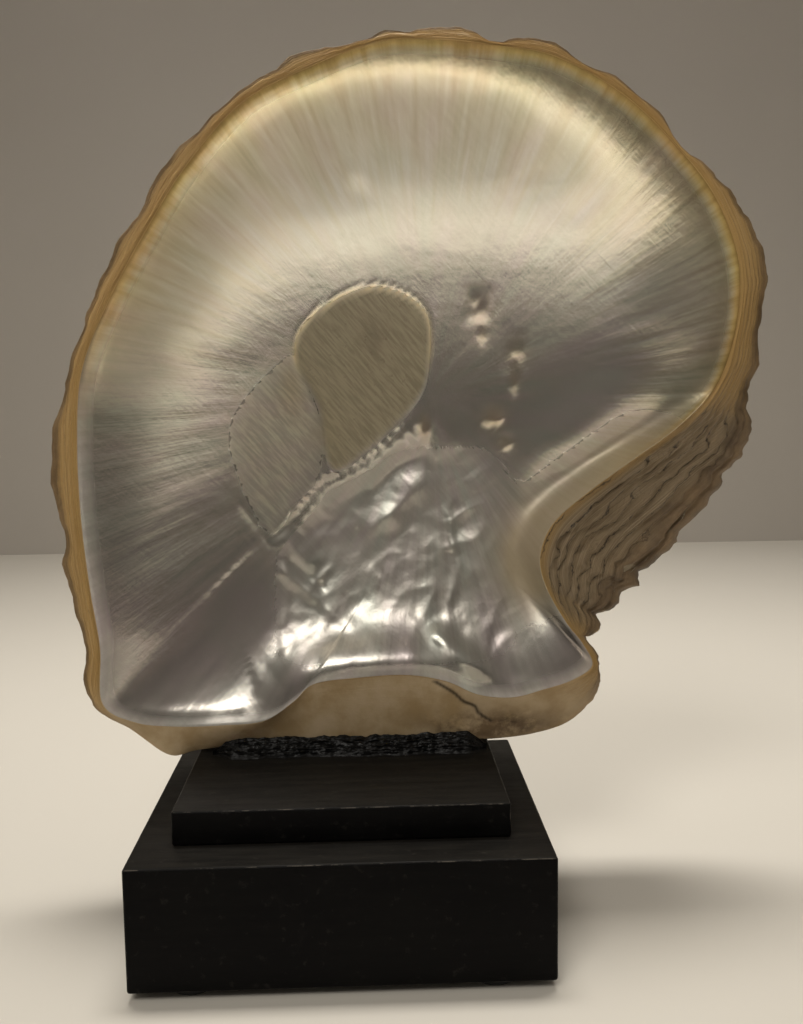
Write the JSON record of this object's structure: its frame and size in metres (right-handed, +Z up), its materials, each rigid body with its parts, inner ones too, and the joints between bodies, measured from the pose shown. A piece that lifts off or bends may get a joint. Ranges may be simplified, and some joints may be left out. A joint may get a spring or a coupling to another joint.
{
  "type": "pearl oyster shell on stand",
  "caption": "Single pearl oyster valve set upright on its hinge, hollow nacre side forward, fixed with paste to a stepped black wooden display stand on rubber pads.",
  "frame": {"origin": "middle of the object's box on the surface that it stands on, the pads' undersides at z = 0; the stand's centre is 20.3 mm to -X of it", "axes": "+Z up, -Y the side that the nacre faces, +X towards the byssal notch"},
  "size_m": [0.1942, 0.085, 0.2347],
  "materials": {
    "nacre": "mother-of-pearl with a golden-brown lip of flaky lamellae, satin to glossy",
    "black_paint": "wood under satin black paint, scuffed pale along the edges",
    "black_paste": "hardened black setting paste, rough with small glints",
    "rubber_pad": "matt black stick-on pad"
  },
  "bodies": {
    "root": {"shell": "nacre", "plinth": "black_paint", "step": "black_paint", "paste": "black_paste", "foot_front_left": "rubber_pad", "foot_front_right": "rubber_pad", "foot_back_left": "rubber_pad", "foot_back_right": "rubber_pad"}
  },
  "joints": []
}
